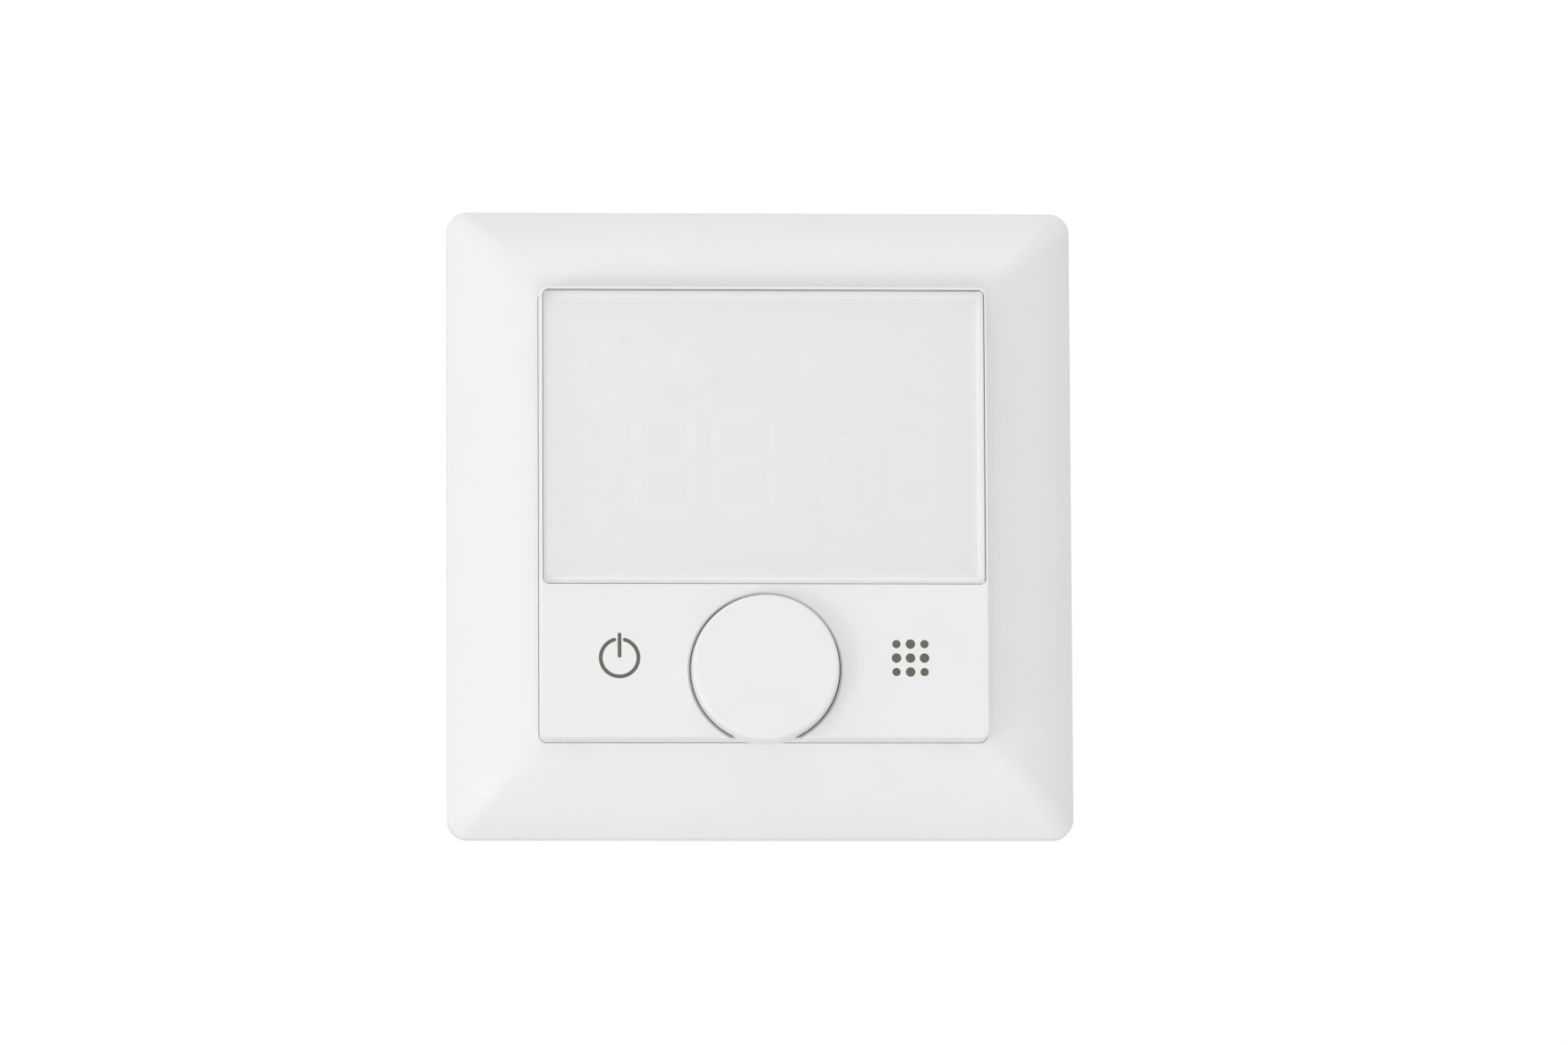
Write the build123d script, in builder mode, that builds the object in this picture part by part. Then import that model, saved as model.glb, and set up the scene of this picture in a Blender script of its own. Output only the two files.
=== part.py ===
"""A flush wall thermostat with a turning knob, a glass display and a square decor frame.

Millimetres. The origin is the centre of the wall plane, X to the right as seen from the room,
+Y into the wall and +Z up. "Height" below always means height in front of the wall, towards the
room, so a height below zero lies inside the wall box.
"""

import math
import os

from build123d import *

os.makedirs("parts", exist_ok=True)

# --- decor frame ---
frame_width = 80.0
frame_height = 80.8
frame_crest = 9.8  # height of the inner edge
frame_skirt = 2.4  # height of the upright outer edge
frame_bulge = 1.55  # how far the crown's arc stands off its chord
frame_wall = 1.8
frame_corner_r = 2.6
frame_mitre_r = 1.1  # corner radius where the crown meets the aperture
frame_edge_r = 0.8
crown_steps = 6
collar_wall = 1.2
ledge_thickness = 1.5

# --- front cover ---
cover_width = 57.0
cover_height = 57.8
cover_front = 15.2
cover_rim = 4.5  # height of the rear rim, which sits on the decor frame's ledge
cover_wall = 1.2
cover_panel = 2.0  # thickness of the front panel
cover_corner_r = 1.0
cover_edge_r = 0.3
cover_gap = 0.06  # all round, between cover and decor frame
ledge_overlap = 1.0  # how far the decor frame's ledge reaches under the cover
notch_spread = 47.9  # between the two release notches in the cover's lower edge
notch_width = 2.5
notch_depth = 0.6
notch_low = 10.3
notch_high = 11.9
nib_width = 10.0
nib_reach = 0.5
drive_share = 0.6  # of a screw head's height, for its drive recess
screw_end_gap = 0.2  # past every screw's tip

# --- display ---
bezel = 0.42  # of cover left visible round the glass
glass_height = 37.7
glass_thickness = 1.0
glass_recess = 0.1
glass_corner_r = 0.7
glass_gap = 0.06
tape_thickness = 0.1
tape_width = 0.85
panel_thickness = 2.0
panel_gap = 0.1
guide_thickness = 1.5
holder_rim = 1.6
holder_shelf = 1.5
reflector_thickness = 0.15
display_pin_count = 20
display_pin_pitch = 2.4
display_pin_width = 0.5
display_pin_thickness = 0.3
display_pin_drop = 0.2  # below the panel's lower edge
led_count = 4
led_pitch = 11.0
led_length = 3.0
led_strip = 2.2

# --- touch marks ---
mark_spread = 36.9  # between the two marks
mark_drop = 18.7  # below the cover's centre
mark_depth = 0.15
power_ring_r = 2.63
mark_stroke = 0.48
power_gap_angle = 32.0
power_bar_rise = 3.2
dot_pitch = 1.78
dot_r = 0.53
middle_dot_r = 0.61
touch_pad_r = 3.0

# --- knob and encoder ---
knob_drop = 20.2  # below the cover's centre
knob_rise = 2.8  # of its face above the cover
knob_sink = 0.7  # of its rim below the cover
knob_front_r = 9.25
knob_base_r = 9.5
knob_edge_r = 0.5
knob_wall = 1.4
knob_hub_r = 4.3
hub_sink = 1.7  # of its hub's end below the cover
knob_travel = 0.5
trim_gap = 0.08  # between knob and trim ring
trim_wall = 0.2
trim_proud = 0.15
trim_bevel = 0.12  # on its outer edge
trim_seat_gap = 0.03
pocket_depth = 1.5
pocket_floor = 1.4
shaft_r = 3.0
shaft_gap = 0.05
shaft_depth = 1.8  # of the shaft's end below the knob's face
shaft_flat = 1.5  # from the axis to the flat
shaft_flange_r = 4.2
shaft_flange = 0.4
clip_thickness = 0.34
clip_width = 4.0
clip_gap = 0.03
encoder_size = 12.0
encoder_top = 12.0
encoder_roof = 0.7
encoder_floor = 0.4
encoder_cavity_r = 5.0
bushing_r = 3.8
bushing_top = 12.5
dome_rise = 0.2
dome_r = 2.6
plunger_r = 2.0
plunger_thickness = 0.6
dome_taper = 60.0
switch_gap = 0.05

# --- control electronics ---
base_back = 5.2
base_thickness = 1.2
base_gap = 0.1
base_screw_r = 0.8
base_screw_head_r = 1.8
base_screw_head = 1.0
base_screw_length = 5.0
post_r = 2.1
post_inset_x = 3.6  # from the cover's side
post_low = 3.2  # from the cover's lower edge
post_step = 12.6  # between the lower and the upper post
board_gap = 0.3
board_thickness = 1.2
board_back = 7.6
rail_width = 1.2
hook_width = 6.0
hook_spread = 28.0
hook_thickness = 1.0
hook_barb = 0.7
hook_barb_height = 0.5
chip_size = 10.0
chip_thickness = 1.0
chip_x = -14.0
chip_z = -6.0
part_spacing = 1.0  # between neighbours on a board
cell_r = 3.0
cell_thickness = 2.1
sensor_r = 0.9
sensor_stand = 1.6  # how far its leads lift it off the board
sensor_lead_r = 0.25
sensor_lead_pitch = 1.2
sensor_reach = 7.0  # to the left of the encoder
sensor_low = 2.0  # above the cover's inner wall
screw_gap = 0.05

# --- wall plate and power unit ---
plate_thickness = 1.0
plate_margin = 2.7  # between the plate and the inside of the frame's skirt
plate_corner_r = 3.0
box_screw_pcd = 60.0
box_screw_hole_r = 2.0
power_size = 49.6
power_clip = 9.5
power_depth = 26.0
power_wall = 1.6
plate_opening_gap = 0.45
flange_rim = 1.2  # of the flange past the housing
flange_thickness = 1.4
plate_screw_inset = 3.4  # from the flange's edge
plate_screw_r = 1.2
plate_screw_head_r = 2.0
plate_screw_head = 1.2
lid_thickness = 1.2
lid_seat = 0.8
lid_gap = 0.1
pillar_inset = 7.8  # of the four pillars, from the housing's outside
pillar_r = 2.4
lid_screw_r = 1.0
lid_screw_head_r = 1.8
lid_screw_head = 1.0
lid_screw_bite = 5.0
power_board_front = -3.0
power_board_thickness = 1.6
power_board_gap = 0.3
step_depth = 11.0  # of the shallow lower half of the housing
plug_pins = 7
plug_pitch = 2.54
pin_side = 0.6
socket_bore = 0.8
socket_bore_depth = 5.2
pin_reach = 4.4
plug_bottom = 4.6
plug_wall = 1.2
socket_top = 4.4
window_gap = 0.4

# --- terminals ---
pole_count = 6
pole_pitch = 5.4
terminal_inset = 2.0  # of the block's lower face from the housing's
terminal_height = 14.2
terminal_end = 24.4  # depth behind the wall of the block's rear face
terminal_wall = 0.9
wire_side = 3.4
wire_depth = 5.2  # from the step to the middle of the wire's way in
clamp_wall = 0.5
clamp_gap = 0.1
terminal_screw_r = 1.1
terminal_screw_head_r = 1.6
terminal_screw_head = 1.2
terminal_screw_sink = 0.2  # below the block's rear face
terminal_screw_bite = 0.8  # into the wire's way
terminal_slot_width = 0.5
tail_side = 1.2
tail_slot = 1.6

# --- relay ---
relay_width = 28.0
relay_height = 14.0
relay_depth = 16.0
relay_inset = 1.4  # of its upper side from the housing's inner wall
relay_wall = 0.8
relay_base_thickness = 1.5
coil_x = -6.0
coil_r = 4.2
core_r = 1.6
yoke_x = 0.8
yoke_thickness = 1.2
yoke_width = 10.0
armature_thickness = 1.0
armature_gap = 0.7  # between the pole and the open armature
hinge_gap = 0.3
contact_x = -12.0
contact_r = 0.9
contact_gap = 1.1
contact_blade = 0.5
armature_room = 1.2  # behind the open armature
coil_flange = 1.0
coil_flange_lip = 0.6
coil_stand = 0.5  # short of the pole's face

# --- other parts of the power board ---
core_width = 13.0
core_height = 13.0
core_depth = 11.0
core_leg = 2.2
capacitor_r = 4.0
capacitor_length = 11.0
varistor_r = 4.5
varistor_thickness = 2.6
fuse_r = 1.6
fuse_length = 9.0
core_inset = 1.0  # from the housing's wall
bobbin_gap = 0.3
bobbin_end_gap = 0.2
bobbin_proud = 1.0
capacitor_edge_r = 0.5
varistor_stand = 1.0
varistor_lead_r = 0.4
varistor_lead_inset = 2.0
fuse_gap = 0.6
varistor_gap = 1.5

# --- worked out from the sizes above ---
aperture_width = cover_width + 2 * cover_gap
aperture_height = cover_height + 2 * cover_gap
inside_width = cover_width - 2 * cover_wall
inside_height = cover_height - 2 * cover_wall
inner_face = cover_front - cover_panel
cover_bottom = -cover_height / 2
glass_width = cover_width - 2 * bezel
glass_mid = cover_height / 2 - bezel - glass_height / 2
glass_top = cover_front - glass_recess
tape_top = glass_top - glass_thickness
glass_seat = tape_top - tape_thickness
window_width = glass_width - 2 * tape_width
window_height = glass_height - 2 * tape_width
panel_width = window_width - 2 * panel_gap
panel_height = window_height - 2 * panel_gap
panel_front = tape_top - switch_gap
panel_back = panel_front - panel_thickness
knob_mid = -knob_drop
knob_front = cover_front + knob_rise
knob_base = cover_front - knob_sink
knob_hub_low = cover_front - hub_sink
shaft_end = knob_front - shaft_depth
pocket_r = knob_base_r + trim_gap + trim_wall + trim_seat_gap
pocket_face = cover_front - pocket_depth
pocket_back = pocket_face - pocket_floor
board_front = board_back + board_thickness
base_front = base_back + base_thickness
plate_width = frame_width - 2 * (frame_wall + plate_margin)
plate_height = frame_height - 2 * (frame_wall + plate_margin)
flange_front = plate_thickness + flange_thickness
lid_back = flange_front - lid_thickness
power_board_back = power_board_front - power_board_thickness
flange_size = power_size + 2 * flange_rim
pillar_spread = power_size - 2 * pillar_inset
terminal_bottom = terminal_inset - power_size / 2
step_line = terminal_bottom + terminal_height
relay_mid = power_size / 2 - power_wall - relay_inset - relay_height / 2
post_x = cover_width / 2 - post_inset_x
post_spots = [
    (side * post_x, cover_bottom + post_low + row * post_step) for side in (-1, 1) for row in (0, 1)
]
mark_spots = [(-mark_spread / 2, -mark_drop), (mark_spread / 2, -mark_drop)]
screw_reach = flange_size / 2 - plate_screw_inset


def at(height):
    """The plane parallel to the wall at this height, with X right, Y up and facing the room."""
    return Plane.XZ.offset(height)


def clipped_square(side, clip, mode=Mode.ADD):
    """A square whose corners are cut off at 45 degrees, clip long on each side."""
    half = side / 2
    flat = half - clip
    Polygon(
        (half, -flat), (half, flat), (flat, half), (-flat, half),
        (-half, flat), (-half, -flat), (-flat, -half), (flat, -half),
        mode=mode,
    )  # fmt: skip


def crown(inset, mode=Mode.ADD):
    """The domed solid of the decor frame, or, inset by the wall, the hollow inside it."""
    skirt = frame_skirt - inset / 2
    curve = SagittaArc((0, skirt), (frame_band, frame_crest - inset), frame_bulge, mode=Mode.PRIVATE)
    with BuildSketch(at(0)) as foot:
        RectangleRounded(frame_width - 2 * inset, frame_height - 2 * inset, frame_corner_r - inset / 2)
    extrude(foot.sketch, amount=skirt, mode=mode)
    sections = []
    for step in range(crown_steps + 1):
        point = curve @ (step / crown_steps)
        share = point.X / frame_band
        corner = frame_corner_r + (frame_mitre_r - frame_corner_r) * share
        with BuildSketch(at(point.Y)) as section:
            RectangleRounded(
                frame_width + (aperture_width - frame_width) * share - 2 * inset,
                frame_height + (aperture_height - frame_height) * share - 2 * inset,
                corner - inset / 2 * (1 - share),
            )
        sections.append(section.sketch)
    loft(sections=sections, mode=mode)


def power_outline():
    """An open ring with a bar through its gap, as on every standby key."""
    mid_r = power_ring_r - mark_stroke / 2
    half_gap = math.tan(math.radians(power_gap_angle / 2)) * power_bar_rise
    across, up = mark_spots[0]
    with Locations((across, up)):
        Circle(power_ring_r)
        Circle(power_ring_r - mark_stroke, mode=Mode.SUBTRACT)
        wedge = [(0, 0), (half_gap, power_bar_rise), (-half_gap, power_bar_rise)]
        Polygon(*wedge, align=None, mode=Mode.SUBTRACT)
        with PolarLocations(mid_r, 2, 90 - power_gap_angle / 2, power_gap_angle, endpoint=True):
            Circle(mark_stroke / 2)
    with Locations((across, up + power_bar_rise / 2)):
        SlotOverall(power_bar_rise, mark_stroke, rotation=90)


def menu_outline():
    """Three rows of three dots, the corner dots a little smaller."""
    across, up = mark_spots[1]
    for column in (-1, 0, 1):
        for row in (-1, 0, 1):
            with Locations((across + column * dot_pitch, up + row * dot_pitch)):
                Circle(dot_r if column and row else middle_dot_r)


def screws(spots, head_bottom, head_top, head_r, shank_r, tip, drive_r):
    """Pan-head screws, each with a hexagonal drive recess in its head."""
    with BuildSketch(at(head_bottom)) as head:
        with Locations(*spots):
            Circle(head_r)
    with BuildSketch(at(head_bottom)) as shank:
        with Locations(*spots):
            Circle(shank_r)
    with BuildSketch(at(head_top)) as drive:
        with Locations(*spots):
            RegularPolygon(drive_r, 6)
    extrude(head.sketch, amount=head_top - head_bottom)
    extrude(shank.sketch, amount=tip - head_bottom)
    extrude(drive.sketch, amount=(head_bottom - head_top) * drive_share, mode=Mode.SUBTRACT)


# ---------------------------------------------------------------- decor frame
frame_band = (frame_width - aperture_width) / 2
with BuildPart() as decor_frame:
    crown(0)
    rim_edges = edges().filter_by_position(Axis.Y, -frame_skirt - 0.01, -frame_skirt + 0.01)
    fillet(rim_edges, frame_edge_r)
    crown(frame_wall, mode=Mode.SUBTRACT)
    with BuildSketch(at(cover_rim - ledge_thickness)):
        collar = 2 * collar_wall
        RectangleRounded(aperture_width + collar, aperture_height + collar, cover_corner_r)
    extrude(amount=frame_crest - frame_wall / 2 - cover_rim + ledge_thickness)
    with BuildSketch(at(frame_crest)):
        RectangleRounded(aperture_width, aperture_height, cover_corner_r + cover_gap)
    extrude(amount=cover_rim - frame_crest, mode=Mode.SUBTRACT)
    with BuildSketch(at(cover_rim)):
        RectangleRounded(cover_width - 2 * ledge_overlap, cover_height - 2 * ledge_overlap, cover_corner_r)
    extrude(amount=-cover_rim, mode=Mode.SUBTRACT)
decor_frame.part.label = "decor_frame"
export_step(decor_frame.part, "parts/decor_frame.step")

# ---------------------------------------------------------------- front cover
with BuildPart() as front_cover:
    with BuildSketch(at(cover_rim)):
        RectangleRounded(cover_width, cover_height, cover_corner_r)
    extrude(amount=cover_front - cover_rim)
    fillet(faces().sort_by(Axis.Y)[0].edges(), cover_edge_r)
    with BuildSketch(at(cover_rim)):
        RectangleRounded(inside_width, inside_height, cover_corner_r / 2)
    extrude(amount=inner_face - cover_rim, mode=Mode.SUBTRACT)
    # A block under the knob's pocket keeps its floor as thick as the rest.
    block_top = knob_mid + pocket_r + cover_wall
    with BuildSketch(at(pocket_back)):
        with Locations((0, (block_top + cover_bottom + cover_wall) / 2)):
            Rectangle(2 * (pocket_r + cover_wall), block_top - cover_bottom - cover_wall)
    extrude(amount=inner_face - pocket_back)
    with BuildSketch(at(pocket_face)):
        with Locations((0, knob_mid)):
            Circle(pocket_r)
    extrude(amount=pocket_depth, mode=Mode.SUBTRACT)
    with BuildSketch(at(pocket_back)):
        with Locations((0, knob_mid)):
            Circle(knob_hub_r + knob_travel)
    extrude(amount=pocket_floor, mode=Mode.SUBTRACT)
    # Screw posts for the carrier.
    with BuildSketch(at(base_front)):
        with Locations(*post_spots):
            Circle(post_r)
    extrude(amount=inner_face - base_front)
    with BuildSketch(at(base_front)):
        with Locations(*post_spots):
            Circle(base_screw_r + screw_gap)
    extrude(amount=base_screw_length, mode=Mode.SUBTRACT)
    # The glass lies in a shallow pocket, and the panel comes up through the window under it.
    with BuildSketch(at(cover_front)):
        with Locations((0, glass_mid)):
            RectangleRounded(glass_width + 2 * glass_gap, glass_height + 2 * glass_gap, glass_corner_r)
    extrude(amount=glass_seat - cover_front, mode=Mode.SUBTRACT)
    with BuildSketch(at(glass_seat)):
        with Locations((0, glass_mid)):
            Rectangle(window_width, window_height)
    extrude(amount=inner_face - glass_seat, mode=Mode.SUBTRACT)
    # Two notches to lever the cover off with.
    with BuildSketch(Plane.XY.offset(cover_bottom)):
        with Locations((0, -(notch_low + notch_high) / 2)):
            with GridLocations(notch_spread, 1, 2, 1):
                Rectangle(notch_width, notch_high - notch_low)
    extrude(amount=notch_depth, mode=Mode.SUBTRACT)
    # A nib on the upper wall holds the carrier's top edge.
    with BuildSketch(at(cover_rim)):
        with Locations((0, (inside_height - nib_reach) / 2)):
            Rectangle(nib_width, nib_reach)
    extrude(amount=base_back - base_gap - cover_rim)
    with BuildSketch(at(cover_front)):
        power_outline()
        menu_outline()
    extrude(amount=-mark_depth, mode=Mode.SUBTRACT)
front_cover.part.label = "front_cover"
export_step(front_cover.part, "parts/front_cover.step")

with BuildPart() as power_mark:
    with BuildSketch(at(cover_front - mark_depth)):
        power_outline()
    extrude(amount=mark_depth)
power_mark.part.label = "power_mark"
export_step(power_mark.part, "parts/power_mark.step")

with BuildPart() as menu_mark:
    with BuildSketch(at(cover_front - mark_depth)):
        menu_outline()
    extrude(amount=mark_depth)
menu_mark.part.label = "menu_mark"
export_step(menu_mark.part, "parts/menu_mark.step")

with BuildPart() as touch_pads:
    with BuildSketch(at(board_front)):
        with Locations(*mark_spots):
            Circle(touch_pad_r)
    extrude(amount=inner_face - board_front)
touch_pads.part.label = "touch_pads"
export_step(touch_pads.part, "parts/touch_pads.step")

# ---------------------------------------------------------------- display
with BuildPart() as display_glass:
    with BuildSketch(at(tape_top)):
        with Locations((0, glass_mid)):
            RectangleRounded(glass_width, glass_height, glass_corner_r)
    extrude(amount=glass_thickness)
    chamfer(faces().sort_by(Axis.Y)[0].edges(), glass_recess)
display_glass.part.label = "display_glass"
export_step(display_glass.part, "parts/display_glass.step")

with BuildPart() as display_tape:
    with BuildSketch(at(glass_seat)):
        with Locations((0, glass_mid)):
            RectangleRounded(glass_width, glass_height, glass_corner_r)
            Rectangle(window_width, window_height, mode=Mode.SUBTRACT)
    extrude(amount=tape_thickness)
display_tape.part.label = "display_tape"
export_step(display_tape.part, "parts/display_tape.step")

with BuildPart() as lcd_panel:
    with BuildSketch(at(panel_back)):
        with Locations((0, glass_mid)):
            Rectangle(panel_width, panel_height)
    extrude(amount=panel_thickness)
lcd_panel.part.label = "lcd_panel"
export_step(lcd_panel.part, "parts/lcd_panel.step")

guide_front = panel_back - panel_gap
guide_back = guide_front - guide_thickness
shelf_top = guide_back - reflector_thickness
opening_width = panel_width - 2 * holder_rim
opening_height = panel_height - 2 * holder_rim
with BuildPart() as lcd_holder:
    with BuildSketch(at(board_front)):
        with Locations((0, glass_mid)):
            Rectangle(panel_width, panel_height)
            shelf = 2 * holder_shelf
            Rectangle(opening_width - shelf, opening_height - shelf, mode=Mode.SUBTRACT)
    extrude(amount=shelf_top - board_front)
    with BuildSketch(at(shelf_top)):
        with Locations((0, glass_mid)):
            Rectangle(panel_width, panel_height)
            Rectangle(opening_width, opening_height, mode=Mode.SUBTRACT)
    extrude(amount=panel_back - shelf_top)
lcd_holder.part.label = "lcd_holder"
export_step(lcd_holder.part, "parts/lcd_holder.step")

guide_height = opening_height - 2 * panel_gap - led_strip
guide_mid = glass_mid + led_strip / 2
with BuildPart() as backlight_reflector:
    with BuildSketch(at(shelf_top)):
        with Locations((0, guide_mid)):
            Rectangle(opening_width - 2 * panel_gap, guide_height)
    extrude(amount=reflector_thickness)
backlight_reflector.part.label = "backlight_reflector"
export_step(backlight_reflector.part, "parts/backlight_reflector.step")

with BuildPart() as backlight_guide:
    with BuildSketch(at(guide_back)):
        with Locations((0, guide_mid)):
            Rectangle(opening_width - 2 * panel_gap, guide_height)
    extrude(amount=guide_thickness)
backlight_guide.part.label = "backlight_guide"
export_step(backlight_guide.part, "parts/backlight_guide.step")

# The lamps stand on a thin strip along the guide's lower edge.
strip_mid = glass_mid - opening_height / 2 + led_strip / 2
with BuildPart() as backlight_leds:
    with BuildSketch(at(shelf_top)):
        with Locations((0, strip_mid)):
            Rectangle(opening_width - 2 * panel_gap, led_strip - 4 * panel_gap)
    extrude(amount=reflector_thickness)
    with BuildSketch(at(guide_back)):
        with Locations((0, strip_mid)):
            with GridLocations(led_pitch, 1, led_count, 1):
                Rectangle(led_length, led_strip - 6 * panel_gap)
    extrude(amount=guide_thickness - 2 * panel_gap)
backlight_leds.part.label = "backlight_leds"
export_step(backlight_leds.part, "parts/backlight_leds.step")

pin_z = glass_mid - panel_height / 2 - display_pin_drop
with BuildPart() as lcd_pins:
    with BuildSketch(at(board_front)):
        with Locations((0, pin_z)):
            with GridLocations(display_pin_pitch, 1, display_pin_count, 1):
                Rectangle(display_pin_width, display_pin_thickness)
    extrude(amount=panel_front - cover_panel / 2 - board_front)
lcd_pins.part.label = "lcd_pins"
export_step(lcd_pins.part, "parts/lcd_pins.step")

# ---------------------------------------------------------------- knob
with BuildPart() as knob_trim_ring:
    with BuildSketch(at(pocket_face)):
        with Locations((0, knob_mid)):
            Circle(pocket_r - trim_seat_gap)
            Circle(pocket_r - trim_seat_gap - trim_wall, mode=Mode.SUBTRACT)
    extrude(amount=pocket_depth + trim_proud)
    chamfer(faces().sort_by(Axis.Y)[0].outer_wire().edges(), trim_bevel)
    with BuildSketch(at(pocket_face)):
        with Locations((0, cover_bottom - pocket_r)):
            Rectangle(4 * pocket_r, 2 * pocket_r)
    extrude(amount=2 * pocket_depth, mode=Mode.SUBTRACT)
knob_trim_ring.part.label = "knob_trim_ring"
export_step(knob_trim_ring.part, "parts/knob_trim_ring.step")

knob_draft = math.degrees(math.atan2(knob_base_r - knob_front_r, knob_front - knob_base))
bore_r = shaft_r + shaft_gap
bore_flat = shaft_flat + clip_thickness + 2 * clip_gap
with BuildPart() as knob_cap:
    with BuildSketch(at(knob_base)):
        with Locations((0, knob_mid)):
            Circle(knob_base_r)
    extrude(amount=knob_front - knob_base, taper=knob_draft)
    fillet(faces().sort_by(Axis.Y)[0].edges(), knob_edge_r)
    with BuildSketch(at(knob_base)):
        with Locations((0, knob_mid)):
            Circle(knob_front_r - knob_wall)
    extrude(amount=knob_front - knob_wall - knob_base, mode=Mode.SUBTRACT)
    with BuildSketch(at(knob_hub_low)):
        with Locations((0, knob_mid)):
            Circle(knob_hub_r)
    extrude(amount=knob_front - knob_wall - knob_hub_low)
    with BuildSketch(at(knob_hub_low)):
        with Locations((0, knob_mid)):
            Circle(bore_r)
        with Locations((0, knob_mid + bore_flat + bore_r)):
            Rectangle(2 * bore_r, 2 * bore_r, mode=Mode.SUBTRACT)
    extrude(amount=shaft_end + clip_gap - knob_hub_low, mode=Mode.SUBTRACT)
knob_cap.part.label = "knob_cap"
export_step(knob_cap.part, "parts/knob_cap.step")

with BuildPart() as knob_clip:
    with BuildSketch(at(knob_hub_low + clip_gap)):
        with Locations((0, knob_mid + shaft_flat + clip_gap + clip_thickness / 2)):
            Rectangle(clip_width, clip_thickness)
    extrude(amount=shaft_end - knob_hub_low - 2 * clip_gap)
knob_clip.part.label = "knob_clip"
export_step(knob_clip.part, "parts/knob_clip.step")

cavity_top = encoder_top - encoder_roof
cavity_floor = board_front + encoder_floor
plunger_bottom = cavity_floor + dome_rise + knob_travel + switch_gap
plunger_top = plunger_bottom + plunger_thickness
flange_bottom = plunger_top + switch_gap
with BuildPart() as encoder_shaft:
    with BuildSketch(at(flange_bottom)):
        with Locations((0, knob_mid)):
            Circle(shaft_flange_r)
    extrude(amount=shaft_flange)
    with BuildSketch(at(flange_bottom)):
        with Locations((0, knob_mid)):
            Circle(shaft_r)
    extrude(amount=shaft_end - flange_bottom)
    with BuildSketch(at(knob_hub_low - knob_travel)):
        with Locations((0, knob_mid + shaft_flat + shaft_r)):
            Rectangle(4 * shaft_r, 2 * shaft_r)
    extrude(amount=shaft_end - knob_hub_low + knob_travel, mode=Mode.SUBTRACT)
encoder_shaft.part.label = "encoder_shaft"
export_step(encoder_shaft.part, "parts/encoder_shaft.step")

with BuildPart() as encoder_plunger:
    with BuildSketch(at(plunger_bottom)):
        with Locations((0, knob_mid)):
            Circle(plunger_r)
    extrude(amount=plunger_thickness)
encoder_plunger.part.label = "encoder_plunger"
export_step(encoder_plunger.part, "parts/encoder_plunger.step")

with BuildPart() as encoder_housing:
    with BuildSketch(at(board_front)):
        with Locations((0, knob_mid)):
            Rectangle(encoder_size, encoder_size)
    extrude(amount=encoder_top - board_front)
    with BuildSketch(at(cavity_floor)):
        with Locations((0, knob_mid)):
            Circle(encoder_cavity_r)
    extrude(amount=cavity_top - cavity_floor, mode=Mode.SUBTRACT)
    with BuildSketch(at(cavity_top)):
        with Locations((0, knob_mid)):
            Circle(bore_r)
    extrude(amount=encoder_roof, mode=Mode.SUBTRACT)
encoder_housing.part.label = "encoder_housing"
export_step(encoder_housing.part, "parts/encoder_housing.step")

with BuildPart() as encoder_bushing:
    with BuildSketch(at(encoder_top)):
        with Locations((0, knob_mid)):
            Circle(bushing_r)
            Circle(bore_r, mode=Mode.SUBTRACT)
    extrude(amount=bushing_top - encoder_top)
encoder_bushing.part.label = "encoder_bushing"
export_step(encoder_bushing.part, "parts/encoder_bushing.step")

with BuildPart() as encoder_dome:
    with BuildSketch(at(cavity_floor)):
        with Locations((0, knob_mid)):
            Circle(dome_r)
    extrude(amount=dome_rise, taper=dome_taper)
encoder_dome.part.label = "encoder_dome"
export_step(encoder_dome.part, "parts/encoder_dome.step")

# ---------------------------------------------------------------- control board
board_width = inside_width - 2 * board_gap
board_height = inside_height - 2 * board_gap
with BuildPart() as control_board:
    with BuildSketch(at(board_back)):
        Rectangle(board_width, board_height)
        with Locations(*post_spots):
            Rectangle(2 * (post_r + board_gap), 2 * (post_r + board_gap), mode=Mode.SUBTRACT)
    extrude(amount=board_thickness)
control_board.part.label = "control_board"
export_step(control_board.part, "parts/control_board.step")

with BuildPart() as control_chip:
    with BuildSketch(at(board_back - chip_thickness)):
        with Locations((chip_x, chip_z)):
            Rectangle(chip_size, chip_size)
    extrude(amount=chip_thickness)
control_chip.part.label = "control_chip"
export_step(control_chip.part, "parts/control_chip.step")

cell_x = encoder_size / 2 + part_spacing + cell_r
cell_z = glass_mid - glass_height / 2 - part_spacing - cell_r
with BuildPart() as backup_cell:
    with BuildSketch(at(board_front)):
        with Locations((cell_x, cell_z)):
            Circle(cell_r)
    extrude(amount=cell_thickness)
backup_cell.part.label = "backup_cell"
export_step(backup_cell.part, "parts/backup_cell.step")

# The room sensor stands off the board by the lower edge, away from the warm display.
sensor_x = -encoder_size / 2 - sensor_reach
sensor_z = cover_bottom + cover_wall + sensor_low
with BuildPart() as room_sensor:
    with BuildSketch(at(board_front)):
        with Locations((sensor_x, sensor_z)):
            with GridLocations(sensor_lead_pitch, 1, 2, 1):
                Circle(sensor_lead_r)
    extrude(amount=sensor_stand)
    with Locations((sensor_x, -board_front - sensor_stand - sensor_r / 2, sensor_z)):
        Sphere(sensor_r)
room_sensor.part.label = "room_sensor"
export_step(room_sensor.part, "parts/room_sensor.step")

plug_width = plug_pins * plug_pitch
plug_height = 2 * plug_pitch
with BuildPart() as board_plug:
    with BuildSketch(at(plug_bottom)):
        Rectangle(plug_width, plug_height)
    extrude(amount=board_back - plug_bottom)
    with BuildSketch(at(plug_bottom)):
        with GridLocations(plug_pitch, plug_pitch, plug_pins, 2):
            Rectangle(pin_side, pin_side)
    extrude(amount=-pin_reach)
board_plug.part.label = "board_plug"
export_step(board_plug.part, "parts/board_plug.step")

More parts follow.
